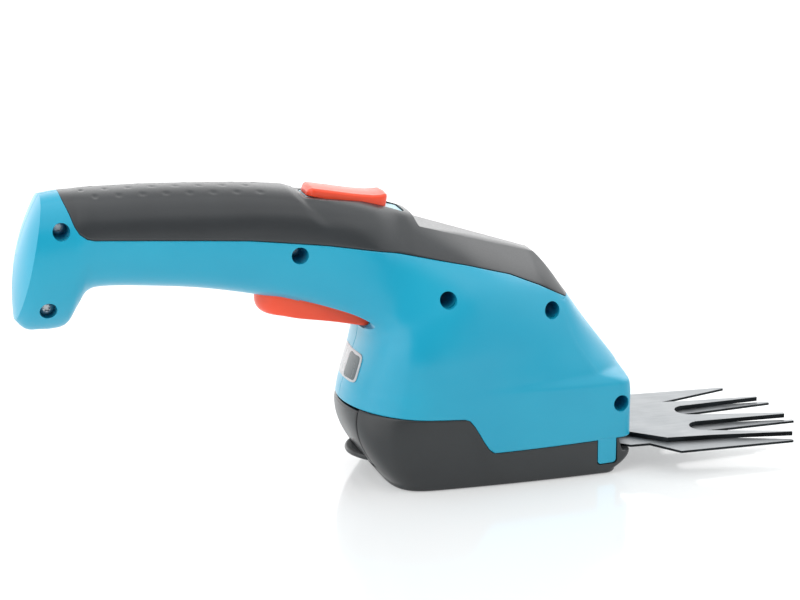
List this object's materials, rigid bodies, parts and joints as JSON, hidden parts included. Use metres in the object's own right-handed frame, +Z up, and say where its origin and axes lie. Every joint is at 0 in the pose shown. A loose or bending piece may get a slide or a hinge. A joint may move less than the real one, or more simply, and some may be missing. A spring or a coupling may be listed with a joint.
{
  "type": "cordless grass shears",
  "caption": "Cordless hand-held grass shears: moulded two-half housing with a soft grip, lock slider, trigger, crank drive, removable base and toothed blades.",
  "frame": {"origin": "on the rest face under the base cover, midway across the tool", "axes": "+X forward along the blades, +Z up, -Y the side with the screw wells"},
  "size_m": [0.331, 0.0832, 0.128],
  "materials": {
    "housing_blue": "moulded, satin gloss",
    "grip_grey": "soft touch, fine grain",
    "base_grey": "moulded, satin",
    "orange": "moulded, satin gloss",
    "bed_blue": "moulded, satin",
    "blade_steel": "ground",
    "bright_steel": "bright",
    "spring_steel": "drawn wire",
    "nickel": "plated",
    "zinc_steel": "zinc plated",
    "black_plastic": "moulded",
    "red_plastic": "moulded",
    "cell_wrap": "shrink wrap",
    "board_green": "lacquered",
    "brass": "machined",
    "nylon": "moulded",
    "plate_metal": "cast and machined",
    "label_white": "plain printed film",
    "red_lead": "insulated wire",
    "black_lead": "insulated wire"
  },
  "bodies": {
    "frame": {"right_housing": "housing_blue", "left_housing": "housing_blue", "housing_screws": "bright_steel", "grip_cover": "grip_grey", "slider_bed": "bed_blue", "slider_spring": "spring_steel", "trigger_pin": "bright_steel", "trigger_spring": "spring_steel", "switch_body": "black_plastic", "battery_cell": "cell_wrap", "front_contact": "nickel", "rear_contact": "nickel", "charge_socket": "black_plastic", "control_board": "board_green", "motor_can": "zinc_steel", "motor_cap": "black_plastic", "idler_axle": "bright_steel", "crank_bush": "brass", "gear_plate": "plate_metal", "motor_plate": "plate_metal", "motor_plate_screws": "bright_steel", "plate_screws": "bright_steel", "lower_blade": "blade_steel", "blade_bolt": "bright_steel", "blade_washer": "bright_steel", "blade_nut": "bright_steel", "blade_screws": "bright_steel", "base_cover": "base_grey", "latch_pin": "bright_steel", "label_plate": "label_white", "battery_leads": "red_lead", "motor_leads": "black_lead"},
    "trigger": {"trigger": "orange"},
    "plunger": {"switch_plunger": "red_plastic"},
    "slider": {"lock_slider": "orange"},
    "rotor": {"motor_shaft": "bright_steel", "motor_pinion": "brass"},
    "idler": {"idler_gear": "nylon"},
    "crank": {"crank_gear": "nylon", "crank_roller": "bright_steel"},
    "blade": {"upper_blade": "blade_steel"},
    "latch": {"latch_lever": "base_grey"}
  },
  "joints": [
    {"name": "crank_turn", "type": "hinge", "parent": "frame", "child": "crank", "pos_m": [0.009, 0, 0.02], "axis": [0, 0, 1], "range_deg": [-12, 118]},
    {"name": "blade_swing", "type": "hinge", "parent": "frame", "child": "blade", "pos_m": [0.033, 0, 0.0113], "axis": [0, 0, 1], "range_deg": [-1.4, 13.6]},
    {"name": "idler_turn", "type": "hinge", "parent": "frame", "child": "idler", "pos_m": [-0.0107, 0, 0.02], "axis": [0, 0, 1], "range_deg": [-355, 37]},
    {"name": "rotor_turn", "type": "hinge", "parent": "frame", "child": "rotor", "pos_m": [-0.0304, 0, 0.034], "axis": [0, 0, 1], "range_deg": [-109, 1063]},
    {"name": "trigger_pull", "type": "hinge", "parent": "frame", "child": "trigger", "pos_m": [-0.06346, 0, 0.07706], "axis": [0, 1, 0], "range_deg": [0, 6], "stiffness_Nm_per_rad": 1, "springref_deg": -2.86, "deforming": ["trigger_spring"]},
    {"name": "plunger_press", "type": "slide", "parent": "frame", "child": "plunger", "axis": [0, 0, 1], "range_m": [0, 0.0014]},
    {"name": "lock_slide", "type": "slide", "parent": "frame", "child": "slider", "axis": [0.9781, 0, -0.2079], "range_m": [0, 0.007], "stiffness_N_per_m": 250, "springref_m": -0.004, "deforming": ["slider_spring"]},
    {"name": "latch_lift", "type": "hinge", "parent": "frame", "child": "latch", "pos_m": [-0.0572, 0, 0.0291], "axis": [0, 1, 0], "range_deg": [0, 6], "stiffness_Nm_per_rad": 0.5, "springref_deg": -4.58}
  ],
  "couplings": [
    {"joint": "blade_swing", "follows": "crank_turn", "ratio": 0.115},
    {"joint": "idler_turn", "follows": "crank_turn", "ratio": -3},
    {"joint": "rotor_turn", "follows": "crank_turn", "ratio": 9},
    {"joint": "plunger_press", "follows": "trigger_pull", "m_per_rad": 0.013}
  ]
}
